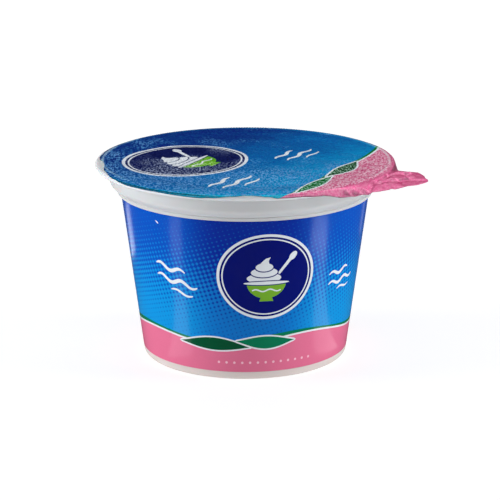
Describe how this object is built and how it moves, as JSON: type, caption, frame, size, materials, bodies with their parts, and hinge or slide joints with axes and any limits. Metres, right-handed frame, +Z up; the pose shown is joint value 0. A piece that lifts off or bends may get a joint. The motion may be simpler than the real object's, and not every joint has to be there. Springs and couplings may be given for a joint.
{
  "type": "yogurt pot",
  "caption": "Sealed single-serving yogurt pot: tapered plastic cup with a wide rim, a printed sleeve round its wall and a foil lid with a pull tab.",
  "frame": {"origin": "centre of the base, on the surface the pot stands on", "axes": "+Z up along the pot's axis; the front of the label looks along -Y, and the lid's pull tab points to the right and forward, between +X and -Y"},
  "size_m": [0.1036, 0.0958, 0.0639],
  "materials": {
    "pot_plastic": "smooth white moulded plastic, soft gloss",
    "label_film": "printed film in blue, pink, green and white, glossy",
    "lid_foil": "embossed aluminium foil printed in blue, pink and green, satin with a fine sparkle"
  },
  "bodies": {
    "root": {"pot": "pot_plastic", "label": "label_film", "lid": "lid_foil"}
  },
  "joints": []
}
